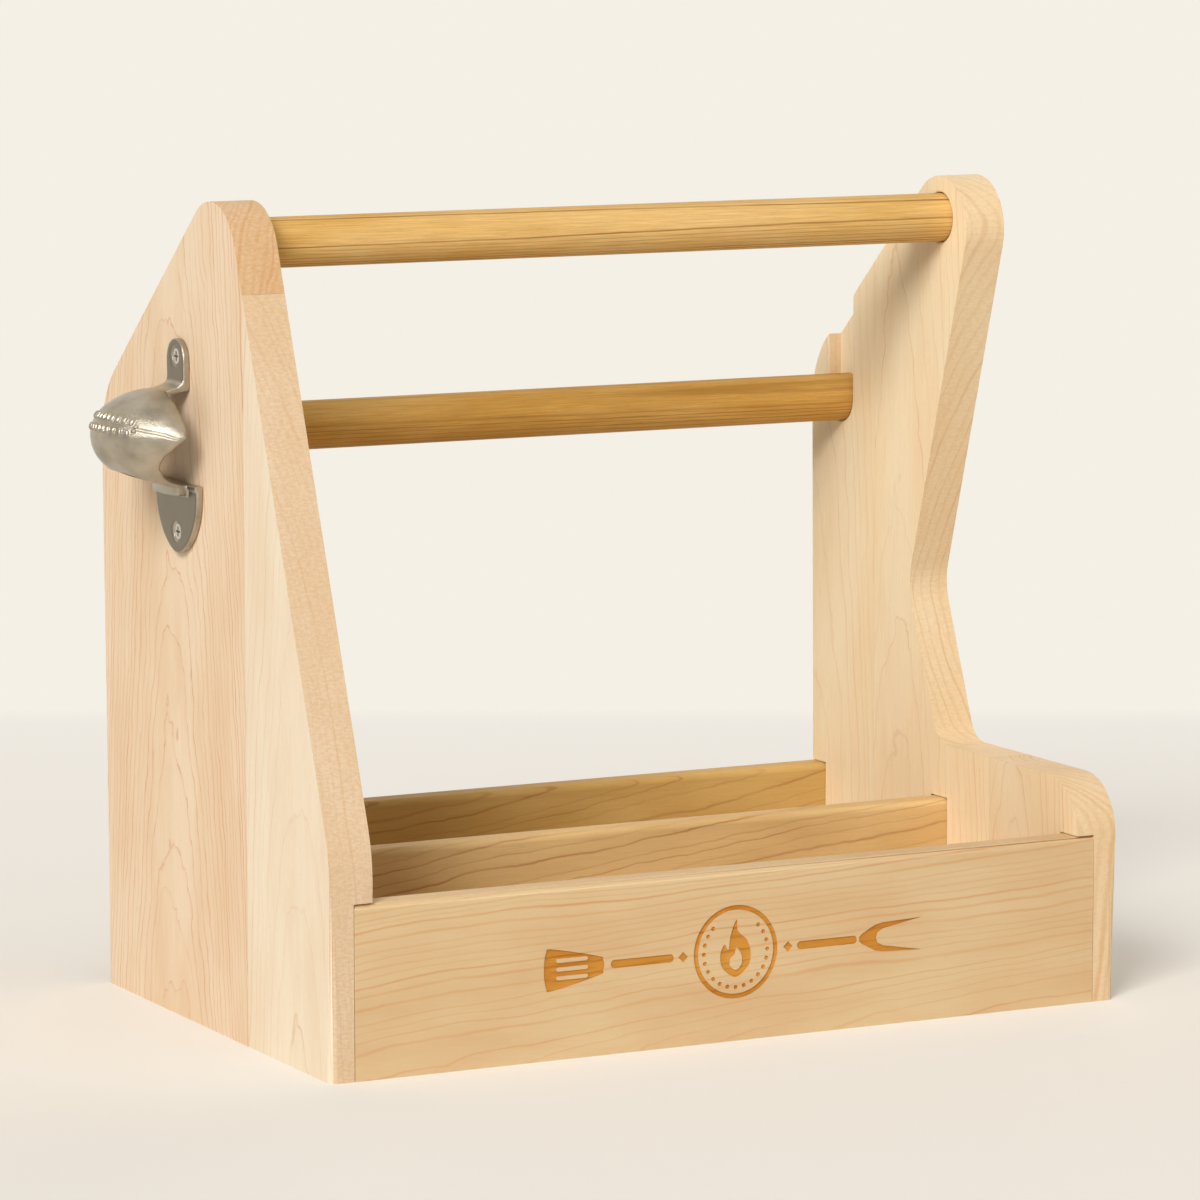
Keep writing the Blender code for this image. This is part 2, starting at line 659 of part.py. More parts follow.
def ledge_solid():
    """Ledge along the top of the lower plate, with the tooth for the cap in its middle."""
    half = LOWER_PLATE_HALF_WIDTH
    places = [half * (2 * k / LEDGE_STEPS - 1) for k in range(LEDGE_STEPS + 1)]
    places = [v for v in places if abs(v) > ARMS_HALF_WIDTH + TOOTH_END_EASE]
    places += [ARMS_HALF_WIDTH + TOOTH_END_EASE, -ARMS_HALF_WIDTH - TOOTH_END_EASE]
    for k in range(HOOD_STATIONS + 1):
        places.append(ARMS_HALF_WIDTH * math.sin(math.pi * (k / HOOD_STATIONS - 1 / 2)))
    sections = []
    for v in sorted(places):
        out, bottom = LEDGE_OUT, -LEDGE_DROP - LEDGE_THICKNESS
        if abs(v) < ARMS_HALF_WIDTH + TOOTH_END_EASE / 2:
            bulge = math.sqrt(max(1 - (v / ARMS_HALF_WIDTH) ** 2, 0))
            out = TOOTH_END_OUT + (TOOTH_OUT - TOOTH_END_OUT) * bulge
            bottom = -LEDGE_DROP - TOOTH_THICKNESS
        profile = [(0, -LEDGE_DROP), (out, -LEDGE_DROP), (out, bottom)]
        for k in range(1, FILLET_STEPS + 1):
            angle = math.pi / 2 * k / FILLET_STEPS
            profile.append((PLATE_THICKNESS + LEDGE_FILLET * (1 - math.sin(angle)),
                            bottom - LEDGE_FILLET * (1 - math.cos(angle))))
        profile.append((0, bottom - LEDGE_FILLET))
        sections.append([opener_point(u, v, w) for u, w in profile])
    return loft(sections)


def turned_u(profile, w):
    """Solid turned about a line out of the wall at height w, from (u, radius) pairs."""
    sides = DOWEL_SIDES // 2
    return loft([[opener_point(u, v, w + up) for v, up in circle((0, 0), radius, sides)]
                 for u, radius in profile])


def screw_profile(grow):
    """Countersunk head, shank and point as (u, radius), from the head's face inwards."""
    face = PLATE_THICKNESS - SCREW_SINK
    neck = face - (SCREW_HEAD_RADIUS - SCREW_SHANK_RADIUS)
    point = face - SCREW_LENGTH
    return [(face, SCREW_HEAD_RADIUS + grow), (neck, SCREW_SHANK_RADIUS + grow),
            (point + SCREW_POINT, SCREW_SHANK_RADIUS + grow), (point - grow, grow + POINT_FLAT)]


def screw_hole(name, w):
    """Hole for a screw, with a dished recess in the plate round its head."""
    profile = screw_profile(FIT)
    dish = [(PLATE_THICKNESS + OVERRUN, SCREW_DISH_RADIUS), (PLATE_THICKNESS, SCREW_DISH_RADIUS)]
    return opener_cutter(name, turned_u(dish + profile, w))


def opener_place():
    return (world_x(0), world_y(OPENER_SETBACK), OPENER_AXIS_HEIGHT)


def opener_cutter(name, bm):
    guide = cutter(name, bm)
    guide.location = opener_place()
    return guide


def bottle_opener(metal, screw_holes):
    """One casting: the hood hollowed out and notched, then the roof, plates and ledge."""
    hood = hood_solid(0, None, -ARMS_DROP - OVERRUN)
    opener = add_object("bottle_opener", finish_mesh(hood, "hood"), metal, METAL_SMOOTH)
    opener.location = opener_place()
    cavity = hood_solid(HOOD_WALL, -OVERRUN, -ARMS_DROP - 2 * OVERRUN)
    beyond = HOOD_HALF_LENGTH + OVERRUN
    steps = [("cavity", cavity, "DIFFERENCE"),
             ("under_mouth", prism_v(under_mouth(), beyond), "DIFFERENCE"),
             ("side_notch", prism_v(side_notch(), beyond), "DIFFERENCE"),
             ("roof", roof_solid(), "UNION"),
             ("upper_plate", plate(tab_outline()), "UNION"),
             ("lower_plate", plate(lower_plate_outline()), "UNION"),
             ("ledge", ledge_solid(), "UNION")]
    for step_name, bm, operation in steps:
        boolean(opener, opener_cutter("opener_" + step_name, bm), operation)
    for hole in screw_holes:
        boolean(opener, hole)


def opener_screw(name, w, metal):
    screw = add_object(name, finish_mesh(turned_u(screw_profile(0), 0), name), metal, METAL_SMOOTH)
    place = opener_place()
    screw.location = (place[0], place[1], place[2] + w)
    face = PLATE_THICKNESS - SCREW_SINK
    for index, (half_v, half_w) in enumerate(((SCREW_CROSS_LENGTH / 2, SCREW_CROSS_WIDTH / 2),
                                              (SCREW_CROSS_WIDTH / 2, SCREW_CROSS_LENGTH / 2))):
        arm = cutter(name + "_cross" + str(index),
                     block(-face - OVERRUN, -face + SCREW_CROSS_DEPTH, -half_v, half_v,
                           -half_w, half_w))
        arm.location = screw.location
        boolean(screw, arm)


def build():
    for old in list(bpy.data.objects):
        bpy.data.objects.remove(old)
    maple = material("maple", (0.80, 0.58, 0.35), 0.55, 0.0)
    ply = material("maple_ply", (0.74, 0.55, 0.34), 0.60, 0.0)
    oak = material("dowel_wood", (0.62, 0.38, 0.14), 0.45, 0.0)
    nickel = material("satin_nickel", (0.62, 0.58, 0.52), 0.30, 1.0)
    screw_holes = [screw_hole("opener_hole_" + name, w) for name, w in SCREWS]
    left_side(maple, screw_holes)
    right_side(maple)
    box_boards(maple)
    bottom_panel(ply)
    dowels(oak)
    bottle_opener(nickel, screw_holes)
    for name, w in SCREWS:
        opener_screw("opener_screw_" + name, w, nickel)


build()
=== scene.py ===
import math

import bmesh
import bpy
from mathutils import Matrix, Vector


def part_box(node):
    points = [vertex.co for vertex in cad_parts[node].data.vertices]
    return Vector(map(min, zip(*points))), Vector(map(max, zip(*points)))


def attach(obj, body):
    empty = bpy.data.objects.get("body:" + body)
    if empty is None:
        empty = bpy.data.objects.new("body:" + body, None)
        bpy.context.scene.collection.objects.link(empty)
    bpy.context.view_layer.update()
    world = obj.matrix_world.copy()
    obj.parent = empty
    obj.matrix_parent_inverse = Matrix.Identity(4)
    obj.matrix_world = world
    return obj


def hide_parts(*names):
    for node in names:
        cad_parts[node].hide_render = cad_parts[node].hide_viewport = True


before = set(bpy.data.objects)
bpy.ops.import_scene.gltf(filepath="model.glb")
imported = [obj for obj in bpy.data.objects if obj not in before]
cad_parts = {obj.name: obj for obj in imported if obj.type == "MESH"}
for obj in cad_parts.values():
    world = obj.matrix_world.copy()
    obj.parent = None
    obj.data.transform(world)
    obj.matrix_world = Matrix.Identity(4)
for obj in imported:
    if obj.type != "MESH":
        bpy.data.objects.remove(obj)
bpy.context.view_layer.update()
scene = bpy.context.scene
MM = 0.001


# Node helpers

class Tree:
    """Short calls for building one material's or world's nodes."""

    def __init__(self, tree):
        self.tree = tree
        tree.nodes.clear()

    def node(self, kind, settings=(), **inputs):
        """A node with its inputs, each named as its socket or _ and the socket's number."""
        new = self.tree.nodes.new(kind)
        for name, value in dict(settings).items():
            setattr(new, name, value)
        for name, value in inputs.items():
            key = int(name[1:]) if name[0] == "_" else name.replace("_", " ")
            socket = new.inputs[key]
            if isinstance(value, bpy.types.NodeSocket):
                self.tree.links.new(value, socket)
            else:
                socket.default_value = value
        return new

    def math(self, operation, a, b=0.0, c=0.0):
        new = self.node("ShaderNodeMath", {"operation": operation}, _0=a, _1=b, _2=c)
        return new.outputs[0]

    def mix(self, share, a, b, blend="MIX"):
        new = self.tree.nodes.new("ShaderNodeMix")
        new.data_type = "RGBA"
        new.blend_type = blend
        for index, value in ((0, share), (6, a), (7, b)):
            if isinstance(value, bpy.types.NodeSocket):
                self.tree.links.new(value, new.inputs[index])
            else:
                new.inputs[index].default_value = value
        return new.outputs[2]

    def noise(self, vector, scale=1.0, detail=2.0, roughness=0.5, output=0):
        new = self.node("ShaderNodeTexNoise", {"noise_dimensions": "3D"}, Vector=vector,
                        Scale=scale, Detail=detail, Roughness=roughness)
        return new.outputs[output]

    def stretched(self, parts, scales, shift=0.0):
        """Vector of three measures, each times its scale."""
        x, y, z = (self.math("MULTIPLY_ADD", part, scale, shift)
                   for part, scale in zip(parts, scales))
        return self.node("ShaderNodeCombineXYZ", (), _0=x, _1=y, _2=z).outputs[0]

    def ramp(self, value, stops):
        """Grey that follows value through stops of (place, shade)."""
        new = self.node("ShaderNodeValToRGB", (), Fac=value)
        ramp = new.color_ramp
        while len(ramp.elements) < len(stops):
            ramp.elements.new(0.5)
        for element, (place, shade) in zip(ramp.elements, stops):
            element.position = place
            element.color = (shade, shade, shade, 1)
        return new.outputs[0]


def rgb(red, green, blue):
    """Linear colour of an sRGB one given from 0 to 255."""
    def linear(value):
        value /= 255
        return value / 12.92 if value <= 0.04045 else ((value + 0.055) / 1.055) ** 2.4
    return (linear(red), linear(green), linear(blue), 1.0)


# Wood. Each tone has a deeper one that it is mottled with

ROSE = rgb(237, 217, 189)
ROSE_DEEP = rgb(230, 204, 170)
CREAM = rgb(240, 228, 205)
CREAM_DEEP = rgb(235, 217, 190)
HONEY = rgb(219, 194, 152)
HONEY_DEEP = rgb(213, 181, 138)
PALE = rgb(245, 227, 193)
PALE_DEEP = rgb(242, 218, 178)
PALER = rgb(252, 235, 200)
PALER_DEEP = rgb(250, 227, 187)
TAN = rgb(229, 195, 138)
TAN_DEEP = rgb(217, 181, 123)
BROWN = rgb(211, 176, 109)
BROWN_DEEP = rgb(200, 163, 95)
GOLD = rgb(238, 199, 132)
GOLD_DEEP = rgb(224, 178, 103)
AMBER = rgb(231, 186, 110)
AMBER_DEEP = rgb(216, 165, 85)
BURNT = rgb(212, 150, 66)
BURNT_DEEP = rgb(196, 131, 50)

# Tones of the growth rings, and of the figure on the boards' edges
LINE = rgb(202, 126, 76)
STRAW = rgb(206, 146, 96)
UMBER = rgb(168, 112, 62)
GOLD_LINE = rgb(134, 86, 32)
BURNT_LINE = rgb(150, 88, 26)
EDGE = rgb(196, 146, 84)

# Sizes in mm of the wood's features: across the grain, through the board and along the grain
SWAY_SIZE = 45
RIPPLE_SIZES = (13, 13, 22)
BREAK_SIZES = (6, 6, 55)
MOTTLE_SIZES = (22, 22, 90)
FIBRE_SIZES = (0.45, 0.45, 22)
PORE_SIZES = (0.3, 0.3, 3.3)
CURL_SIZES = (0.9, 2.2, 1.0)

UNEVEN_PACE = 0.37
UNEVEN_RINGS = 2.4
LEAST_SLOPE = 0.18
EDGE_SLOPE = 0.7
FAINT_LINE = 0.35
PORE_SHARE = 0.16
FIBRE_RISE = 0.6
PORE_SINK = 0.4
SHINE_RANGE = 0.10
WOOD_BUMP = 0.00006


def wood(name, grain, flat, pith, spacing, seed, light, deep, line, taper=0.012, wave=3.0,
         wave_length=110.0, ripple=0.6, line_width=0.55, line_strength=0.8, fleck=0.16,
         edge_tint=0.0, edge_line=EDGE, hide_on_edge=0.6, streak=0.14, roughness=0.5, gloss=0.08):
    """Timber cut from a log: growth rings round a pith, crossed by fibres and flecks.

    grain is the axis along the tree and flat the one across the board's broad faces. pith is
    the rings' centre in mm on the other axis and on flat.
    """
    look = bpy.data.materials.new(name)
    look.use_nodes = True
    t = Tree(look.node_tree)
    coordinates = t.node("ShaderNodeTexCoord").outputs
    split = t.node("ShaderNodeSeparateXYZ", (), _0=coordinates["Object"]).outputs
    order = "XYZ"
    side = [axis for axis in order if axis not in (grain, flat)][0]
    along, across, through = (t.math("MULTIPLY", split[order.index(axis)], 1 / MM)
                              for axis in (grain, side, flat))

    def noise(sizes, shift, detail=2.0, roughness=0.5, output=0):
        """Noise with features of these sizes; shift sets it apart from the board's others."""
        place = t.stretched((across, through, along), [1 / size for size in sizes], seed + shift)
        return t.noise(place, detail=detail, roughness=roughness, output=output)

    normal = t.node("ShaderNodeSeparateXYZ", (), _0=coordinates["Normal"]).outputs
    facing = t.math("ABSOLUTE", normal[order.index(flat)])
    edge = t.ramp(facing, ((0.25, 1.0), (0.8, 0.0)))

    sway = noise((SWAY_SIZE, SWAY_SIZE, wave_length), 0, detail=2.5, roughness=0.45, output=1)
    sways = t.node("ShaderNodeSeparateXYZ", (), _0=sway).outputs
    moved_across = t.math("MULTIPLY_ADD", sways[0], 2 * wave, across)
    moved_through = t.math("MULTIPLY_ADD", sways[1], 2 * wave, through)
    a = t.math("SUBTRACT", moved_across, pith[0] + wave)
    b = t.math("SUBTRACT", moved_through, pith[1] + wave)
    square = t.math("ADD", t.math("MULTIPLY", a, a), t.math("MULTIPLY", b, b))
    distance = t.math("SQRT", square)
    radius = t.math("MULTIPLY_ADD", along, taper, distance)
    radius = t.math("MULTIPLY_ADD", noise(RIPPLE_SIZES, 5, detail=3.0), 2 * ripple, radius)
    rings = t.math("DIVIDE", radius, spacing)
    years = t.stretched((rings, rings, rings), (UNEVEN_PACE, 0.0, 0.0), seed)
    rings = t.math("MULTIPLY_ADD", t.noise(years, detail=1.0), UNEVEN_RINGS, rings)
    phase = t.math("FRACT", rings)
    which = t.math("FLOOR", rings)
    chance = t.node("ShaderNodeTexWhiteNoise", {"noise_dimensions": "1D"}, W=which).outputs[0]
    slope = t.math("DIVIDE", t.math("ABSOLUTE", a), distance)
    slope = t.math("MAXIMUM", t.math("MULTIPLY_ADD", edge, EDGE_SLOPE, slope), LEAST_SLOPE)
    aside = t.math("ABSOLUTE", t.math("SUBTRACT", phase, 0.5))
    aside = t.math("DIVIDE", t.math("MULTIPLY", aside, spacing / line_width), slope)
    thin = t.ramp(aside, ((0.0, 1.0), (0.40, 0.85), (1.0, 0.0)))
    flank = t.ramp(phase, ((0.0, 0.0), (0.15, 0.0), (0.5, 0.16), (0.56, 0.0), (1.0, 0.0)))
    band = t.math("MAXIMUM", thin, flank)
    broken = t.ramp(noise(BREAK_SIZES, 7), ((0.3, 0.5), (0.6, 1.0)))
    strength = t.math("MULTIPLY_ADD", t.math("MULTIPLY", chance, chance),
                      line_strength * (1 - FAINT_LINE), line_strength * FAINT_LINE)
    ring_share = t.math("MULTIPLY", t.math("MULTIPLY", band, broken), strength)
    ring_share = t.math("MULTIPLY", ring_share, t.math("MULTIPLY_ADD", edge, -hide_on_edge, 1.0))

    mottle = t.ramp(noise(MOTTLE_SIZES, 3, detail=3.0), ((0.36, 0.0), (0.64, 1.0)))
    body = t.mix(mottle, light, deep)
    fibre = noise(FIBRE_SIZES, 11, detail=3.0, roughness=0.65)
    fibre_share = t.ramp(fibre, ((0.32, 0.0), (0.68, 1.0)))
    body = t.mix(t.math("MULTIPLY", fibre_share, streak), body, line)
    colour = t.mix(ring_share, body, line)

    pore_share = t.ramp(noise(PORE_SIZES, 17, detail=1.5), ((0.62, 0.0), (0.72, 1.0)))
    colour = t.mix(t.math("MULTIPLY", pore_share, PORE_SHARE), colour, line)

    curl = noise(CURL_SIZES, 23, detail=3.0, roughness=0.6)
    curl_share = t.ramp(curl, ((0.40, 0.0), (0.62, 1.0)))
    edge_share = t.math("MULTIPLY", t.math("MULTIPLY_ADD", curl_share, fleck, edge_tint), edge)
    colour = t.mix(edge_share, colour, edge_line)

    height = t.math("ADD", t.math("MULTIPLY", fibre, FIBRE_RISE),
                    t.math("MULTIPLY", pore_share, -PORE_SINK))
    bump = t.node("ShaderNodeBump", (), Height=height, Distance=WOOD_BUMP, Strength=0.35)
    shine = t.math("MULTIPLY_ADD", fibre, SHINE_RANGE, roughness - SHINE_RANGE / 2)
    shader = t.node("ShaderNodeBsdfPrincipled", (), Base_Color=colour, Roughness=shine,
                    Normal=bump.outputs[0])
    shader.inputs["Specular IOR Level"].default_value = gloss
    t.node("ShaderNodeOutputMaterial", (), Surface=shader.outputs[0])
    return look


STAVES = {
    "left_side_front_stave": dict(pith=(-88, -225), spacing=3.4, seed=1.3, light=CREAM,
                                  deep=CREAM_DEEP, line=STRAW, line_strength=0.5, fleck=0.16,
                                  taper=0.06, ripple=1.2, edge_tint=0.36, hide_on_edge=0.35),
    "left_side_rear_stave": dict(pith=(42, -224), spacing=2.4, seed=8.1, light=ROSE, deep=ROSE_DEEP,
                                 line=LINE, line_strength=0.85, fleck=0.20, taper=0.07, ripple=2.0,
                                 edge_tint=0.44, hide_on_edge=0.3),
    "right_side_front_stave": dict(pith=(-62, 225), spacing=2.6, seed=15.7, light=PALE,
                                   deep=PALE_DEEP, line=STRAW, line_strength=0.6, fleck=0.10,
                                   taper=0.05, ripple=1.0, edge_tint=0.26, hide_on_edge=0.1),
    "right_side_middle_stave": dict(pith=(38, 236), spacing=3.8, seed=21.2, light=PALER,
                                    deep=PALER_DEEP, line=STRAW, line_strength=0.45, fleck=0.10,
                                    taper=0.06, ripple=1.4, edge_tint=0.26, hide_on_edge=0.1),
    "right_side_rear_stave": dict(pith=(120, 262), spacing=3.2, seed=27.9, light=PALER,
                                  deep=PALER_DEEP, line=STRAW, line_strength=0.45, fleck=0.10,
                                  taper=0.04, ripple=1.2, edge_tint=0.26, hide_on_edge=0.1),
}
BOARDS = {
    "front_board": dict(pith=(-12, -176), spacing=2.3, seed=33.3, light=HONEY, deep=HONEY_DEEP,
                        line=STRAW, wave=5.0, wave_length=140, taper=-0.035, line_strength=0.85),
    "divider_board": dict(pith=(120, 20), spacing=4.6, seed=41.1, light=TAN, deep=TAN_DEEP,
                          line=UMBER, wave=6.0, wave_length=160, taper=0.10, line_strength=0.75,
                          ripple=1.6, streak=0.18),
    "back_board": dict(pith=(110, 60), spacing=4.4, seed=47.5, light=BROWN, deep=BROWN_DEEP,
                       line=UMBER, wave=6.0, wave_length=150, taper=0.10, line_strength=0.75,
                       ripple=1.6, streak=0.18),
    "bottom_panel": dict(pith=(60, -90), spacing=5.0, seed=53.7, light=HONEY, deep=HONEY_DEEP,
                         line=STRAW, wave=4.0),
}
DOWELS = {
    "handle_dowel": dict(pith=(360, -60), spacing=1.7, seed=61.3, light=GOLD, deep=GOLD_DEEP),
    "towel_bar": dict(pith=(190, 160), spacing=1.9, seed=68.9, light=AMBER, deep=AMBER_DEEP),
}


def flat_faces(piece):
    """Keep broad faces flat to the light beside their rounded arrises."""
    firm = piece.modifiers.new("flat_faces", "WEIGHTED_NORMAL")
    firm.weight = 100
    firm.keep_sharp = True


def paint(name, look):
    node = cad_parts[name]
    node.data.materials.clear()
    node.data.materials.append(look)
    flat_faces(node)


for name, facts in STAVES.items():
    paint(name, wood(name + "_maple", "Z", "X", **facts))
for name, facts in BOARDS.items():
    flat = "Z" if name == "bottom_panel" else "Y"
    paint(name, wood(name + "_maple", "X", flat, **facts))
for name, facts in DOWELS.items():
    paint(name, wood(name + "_wood", "X", "Y", line=GOLD_LINE, wave=1.0, taper=0.004,
                     wave_length=260.0, ripple=0.15, fleck=0.0, hide_on_edge=0.0, streak=0.36,
                     line_strength=1.0, roughness=0.42, gloss=0.02, **facts))


# Metal

NICKEL = rgb(191, 183, 168)
NICKEL_DEEP = rgb(163, 154, 138)
# Painted dark reflection, for the casting's flat faces near the wall
NICKEL_PAINTED_DARK_REFLECTION = rgb(128, 119, 102)
SCREW_BRIGHT = rgb(214, 208, 196)
SCREW_DEEP = rgb(186, 178, 162)

# Features per metre of the casting's skin, and how the finer two share its relief
GRIT_SCALE = 3600.0
CAST_SCALE = 1500.0
TARNISH_SCALE = 90.0
GRIT_SHARE = 0.45
CAST_BUMP = 0.00032
TARNISH_RAGGED = 3.0
MARKS_SCALE = 1500.0


def satin_nickel(name, wall):
    """Plated casting, darker where it lies close to the wall and faces out from it: a painted dark
    reflection.
    """
    look = bpy.data.materials.new(name)
    look.use_nodes = True
    t = Tree(look.node_tree)
    coordinates = t.node("ShaderNodeTexCoord").outputs
    place = coordinates["Object"]
    grit = t.noise(place, scale=GRIT_SCALE, detail=2.0, roughness=0.6)
    cast = t.noise(place, scale=CAST_SCALE, detail=2.0, roughness=0.55)
    tarnish = t.noise(place, scale=TARNISH_SCALE, detail=3.0)
    colour = t.mix(t.ramp(tarnish, ((0.35, 0.0), (0.7, 1.0))), NICKEL, NICKEL_DEEP)
    # Painted reflection: flat faces near the wall that face out from it are given a darker colour
    place_x = t.node("ShaderNodeSeparateXYZ", (), _0=place).outputs[0]
    out = t.math("MULTIPLY_ADD", place_x, -1 / MM, wall / MM)
    out = t.math("MULTIPLY_ADD", t.math("SUBTRACT", tarnish, 0.5), TARNISH_RAGGED, out)
    reflection_near_wall = t.ramp(t.math("MULTIPLY", out, 0.1), ((0.38, 1.0), (0.62, 0.0)))
    facing = t.node("ShaderNodeSeparateXYZ", (), _0=coordinates["Normal"]).outputs[0]
    reflection_flat_on = t.ramp(t.math("MULTIPLY", facing, -1.0), ((0.80, 0.0), (0.96, 1.0)))
    colour = t.mix(t.math("MULTIPLY", reflection_near_wall, reflection_flat_on), colour, NICKEL_PAINTED_DARK_REFLECTION)
    height = t.math("MULTIPLY_ADD", grit, GRIT_SHARE, t.math("MULTIPLY", cast, 1 - GRIT_SHARE))
    bump = t.node("ShaderNodeBump", (), Height=height, Distance=CAST_BUMP, Strength=0.70)
    shine = t.math("MULTIPLY_ADD", cast, 0.16, 0.23)
    shader = t.node("ShaderNodeBsdfPrincipled", (), Base_Color=colour, Roughness=shine,
                    Normal=bump.outputs[0])
    shader.inputs["Metallic"].default_value = 1.0
    t.node("ShaderNodeOutputMaterial", (), Surface=shader.outputs[0])
    return look


def screw_plate():
    """Bright plating of the screws, with fine turning marks round their middles."""
    look = bpy.data.materials.new("screw_nickel")
    look.use_nodes = True
    t = Tree(look.node_tree)
    place = t.node("ShaderNodeTexCoord").outputs["Object"]
    marks = t.noise(place, scale=MARKS_SCALE, detail=2.0)
    colour = t.mix(marks, SCREW_BRIGHT, SCREW_DEEP)
    bump = t.node("ShaderNodeBump", (), Height=marks, Distance=0.0001, Strength=0.4)
    shader = t.node("ShaderNodeBsdfPrincipled", (), Base_Color=colour, Normal=bump.outputs[0],
                    Roughness=t.math("MULTIPLY_ADD", marks, 0.12, 0.14))
    shader.inputs["Metallic"].default_value = 1.0
    t.node("ShaderNodeOutputMaterial", (), Surface=shader.outputs[0])
    return look


nickel = satin_nickel("satin_nickel_casting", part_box("left_side_rear_stave")[0][0])
for name in ("opener_screw_upper", "opener_screw_lower"):
    paint(name, screw_plate())


# Pieces made from a CAD node's own form

def applied(piece):
    """Make the object's modifiers part of its mesh."""
    bpy.context.view_layer.update()
    graph = bpy.context.evaluated_depsgraph_get()
    mesh = bpy.data.meshes.new_from_object(piece.evaluated_get(graph))
    piece.modifiers.clear()
    piece.data = mesh
    return mesh


def copy_of(node, name):
    """A new object, not yet standing for the node, with a copy of its mesh."""
    piece = bpy.data.objects.new(name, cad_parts[node].data.copy())
    scene.collection.objects.link(piece)
    return piece


def stand_for(piece, node):
    """The piece takes the place of the node and moves with the caddy."""
    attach(piece, "caddy")
    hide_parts(node)


# Bottle opener: the casting with soft arrises, its raised laces and its seam. Measures in mm:
# u out from the wall, v along it, w up from the hood's axis

OPENER_TAB_TOP = 39.2
HOOD_HALF_LENGTH = 33.8
HOOD_RISE = 18.9
HOOD_BELLY = 28.3
HOOD_BACK_OUT = 11.0
CAST_VOXEL = 0.00044
LACE_TURN = math.radians(19.5)
LACE_PITCH = 3.0
LACE_COUNT = 6
LACE_ROW = 2.7
LACE_HALF_LONG = 1.75
LACE_HALF_WIDE = 0.95
LACE_HEIGHT = 0.85
LACE_SLANT = 0.10
LACE_REACH = 5.0
LACE_END = 20.2
END_ROW = 0.95
END_HALF_LONG = 0.75
END_HALF_WIDE = 0.9 * LACE_HALF_WIDE
END_SHARE = 0.8
SEAM_APART = 0.65
SEAM_WIDTH = 0.24
SEAM_DEPTH = 0.30
SEAM_FADE = 4.0
RIDGE_PASSES = 32


def hood_lens(v):
    """The hood's size at v, as a share of its size in the middle."""
    arc = (HOOD_HALF_LENGTH ** 2 + HOOD_RISE ** 2) / (2 * HOOD_RISE)
    return (math.sqrt(max(arc * arc - v * v, 0)) - (arc - HOOD_RISE)) / HOOD_RISE


def pad(along, across, half_along, half_across):
    """1 in the middle of a bead, falling in a round dome to 0 at its rim."""
    rest = max(1 - (along / half_along) ** 2 - abs(across / half_across) ** 3, 0)
    return rest ** 0.7


def lace_height(v, s):
    """Height in mm of the laces and seam at v, s being the way round the hood."""
    if abs(v) < LACE_END + 1.5:
        nearest = round(v / LACE_PITCH)
        nearest = max(-LACE_COUNT, min(LACE_COUNT, nearest))
        slant = LACE_SLANT * (s - math.copysign(LACE_ROW, s))
        stitch = pad(v - nearest * LACE_PITCH - slant, abs(s) - LACE_ROW,
                     LACE_HALF_WIDE, LACE_HALF_LONG)
        end = pad(abs(v) - LACE_END, abs(s) - END_ROW, END_HALF_WIDE, END_HALF_LONG)
        raised = LACE_HEIGHT * max(stitch, END_SHARE * end)
        if raised > 0:
            return raised
    if abs(v) < LACE_END:
        return -0.5 * SEAM_DEPTH * math.exp(-(s / SEAM_WIDTH) ** 2)
    fade = min(max((HOOD_HALF_LENGTH - abs(v)) / SEAM_FADE, 0), 1)
    return -SEAM_DEPTH * fade * math.exp(-((abs(s) - SEAM_APART * fade) / SEAM_WIDTH) ** 2)


def measures(point, foot):
    """(u, v, w) of a point, foot being the hood's axis on the wall."""
    return (foot.x - point.x) / MM, (point.y - foot.y) / MM, (point.z - foot.z) / MM


def way_round(point, foot):
    """(v, s) of a point on the hood's skin, or None off it."""
    u, v, w = measures(point, foot)
    lens = hood_lens(v)
    if lens < 0.03 or w < -2:
        return None
    a, b = (u - HOOD_BACK_OUT) / HOOD_BELLY, w / HOOD_RISE
    if (lens - math.hypot(a, b)) * HOOD_RISE > 1.0:
        return None
    turn = math.atan2(b, a) - LACE_TURN * min(lens / 0.35, 1)
    arc = math.hypot(HOOD_BELLY * math.sin(LACE_TURN), HOOD_RISE * math.cos(LACE_TURN))
    return v, turn * arc * lens


def on_ridge(point, foot):
    """Whether a point is near the hood's rim, whose casting is rounded off."""
    u, v, w = measures(point, foot)
    return u > 6 and 8 < abs(v) and abs(w + 0.5) < 3.8


def casting():
    low, high = (Vector(corner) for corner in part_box("bottle_opener"))
    foot = Vector((high.x, (low.y + high.y) / 2, high.z - OPENER_TAB_TOP * MM))
    piece = copy_of("bottle_opener", "opener_casting")
    remesh = piece.modifiers.new("remesh", "REMESH")
    remesh.mode = "VOXEL"
    remesh.voxel_size = CAST_VOXEL
    smooth = piece.modifiers.new("smooth", "SMOOTH")
    smooth.factor = 0.5
    smooth.iterations = 12
    mesh = applied(piece)
    bm = bmesh.new()
    bm.from_mesh(mesh)
    ridge = [vert for vert in bm.verts if on_ridge(vert.co, foot)]
    for _ in range(RIDGE_PASSES):
        bmesh.ops.smooth_vert(bm, verts=ridge, factor=0.5, use_axis_x=True, use_axis_y=True,
                              use_axis_z=True)
    near = []
    for face in bm.faces:
        place = way_round(face.calc_center_median(), foot)
        if place and abs(place[1]) < LACE_REACH - 0.4:
            near.append(face)
    edges = list({edge for face in near for edge in face.edges})
    bmesh.ops.subdivide_edges(bm, edges=edges, cuts=1, use_grid_fill=True)
    bm.normal_update()
    moves = []
    for vert in bm.verts:
        place = way_round(vert.co, foot)
        if place and abs(place[1]) < LACE_REACH:
            moves.append((vert, vert.normal * lace_height(*place) * MM))
    for vert, move in moves:
        vert.co += move
    for vert in bm.verts:
        vert.co.x = min(max(vert.co.x, low.x), high.x)
    bm.to_mesh(mesh)
    bm.free()
    mesh.materials.clear()
    mesh.materials.append(nickel)
    mesh.shade_smooth()
    stand_for(piece, "bottle_opener")


casting()


